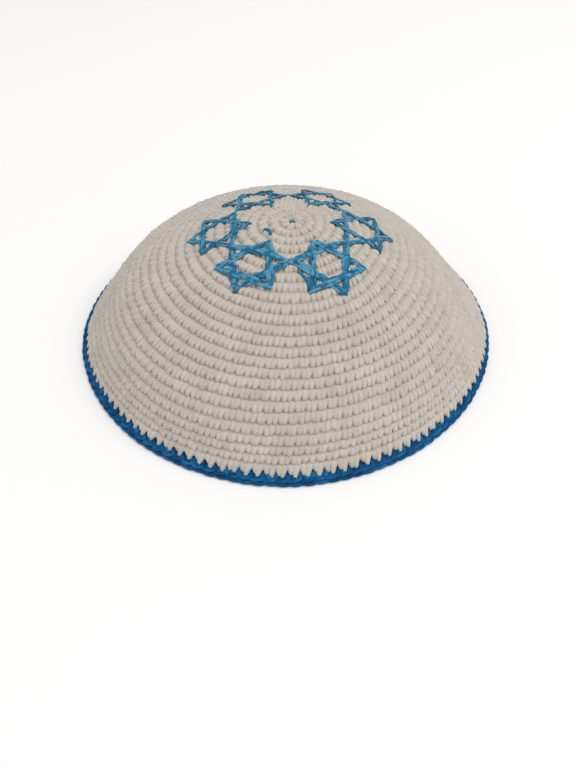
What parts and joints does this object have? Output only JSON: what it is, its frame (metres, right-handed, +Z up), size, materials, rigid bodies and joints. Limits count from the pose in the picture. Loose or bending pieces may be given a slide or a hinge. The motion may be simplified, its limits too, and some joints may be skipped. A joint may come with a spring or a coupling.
{
  "type": "kippah skullcap",
  "caption": "Domed skullcap of white crocheted cotton with a ring of blue six-pointed stars on the crown and a blue crocheted edging at the rim, open underneath for the head.",
  "frame": {"origin": "under the middle of the rim, on the surface that the cap stands on", "axes": "+Z up through the crown, -Y toward the front seen in the picture, +X to the right in the picture"},
  "size_m": [0.1718, 0.17, 0.0563],
  "materials": {
    "white_cotton": "matt off-white cotton yarn in single crochet rounds",
    "blue_cotton": "matt deep blue cotton yarn, one crocheted round",
    "star_cotton": "matt mid blue cotton yarn laid in straight stitches"
  },
  "bodies": {
    "root": {"crown": "white_cotton", "edging": "blue_cotton", "star_front_left": "star_cotton", "star_front_right": "star_cotton", "star_right": "star_cotton", "star_back_right": "star_cotton", "star_back_left": "star_cotton", "star_left": "star_cotton"}
  },
  "joints": []
}
